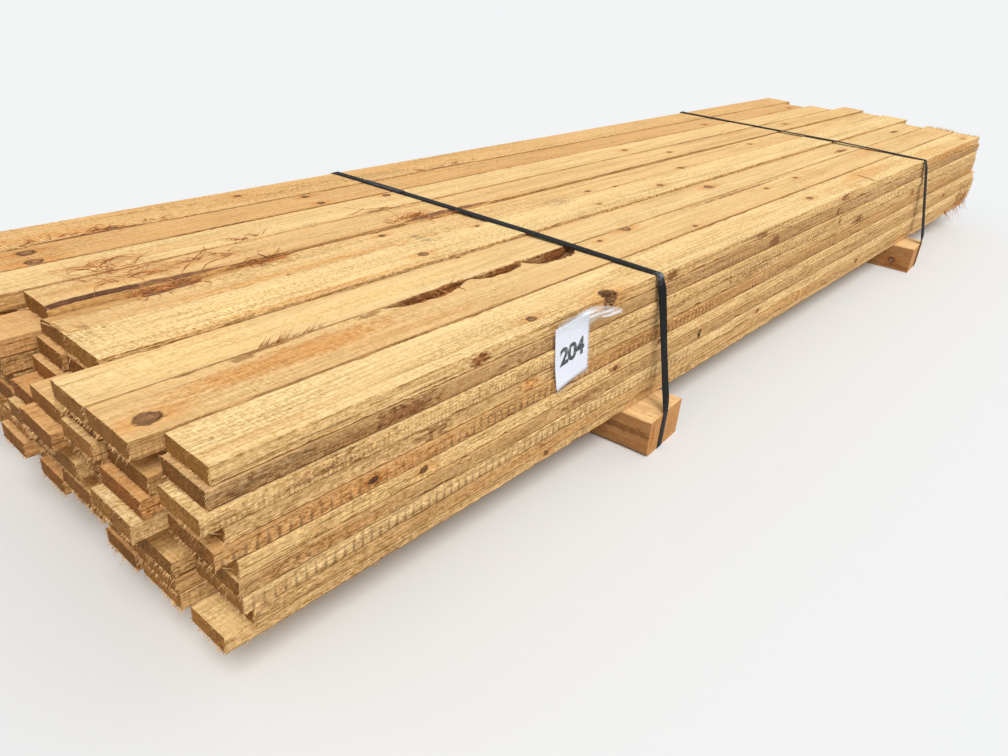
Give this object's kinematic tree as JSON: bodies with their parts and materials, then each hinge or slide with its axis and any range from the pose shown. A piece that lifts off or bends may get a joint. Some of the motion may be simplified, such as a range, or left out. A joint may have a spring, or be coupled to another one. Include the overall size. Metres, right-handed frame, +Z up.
{
  "type": "bundle of cedar boards",
  "caption": "Strapped bundle of rough-sawn cedar boards in even layers, on bearers that leave room for forks.",
  "frame": {"origin": "middle of the bounding box on the floor, under the bearers", "axes": "+X along the boards, away from the end with the tag; +Y across the stack, from the tagged side to the back; +Z up"},
  "size_m": [3.3144, 0.9222, 0.3424],
  "materials": {
    "cedar": "rough-sawn, unfinished",
    "bearer_wood": "rough-sawn, unfinished",
    "strap_plastic": "embossed, half gloss",
    "tag_card": "white card in a clear sleeve"
  },
  "bodies": {
    "root": {"layer_1": "cedar", "layer_2": "cedar", "layer_3": "cedar", "layer_4": "cedar", "layer_5": "cedar", "layer_6": "cedar", "layer_7": "cedar", "layer_8": "cedar", "layer_9": "cedar", "layer_10": "cedar", "bearer_near": "bearer_wood", "bearer_far": "bearer_wood", "strap_near": "strap_plastic", "strap_far": "strap_plastic", "lot_tag": "tag_card"}
  },
  "joints": []
}
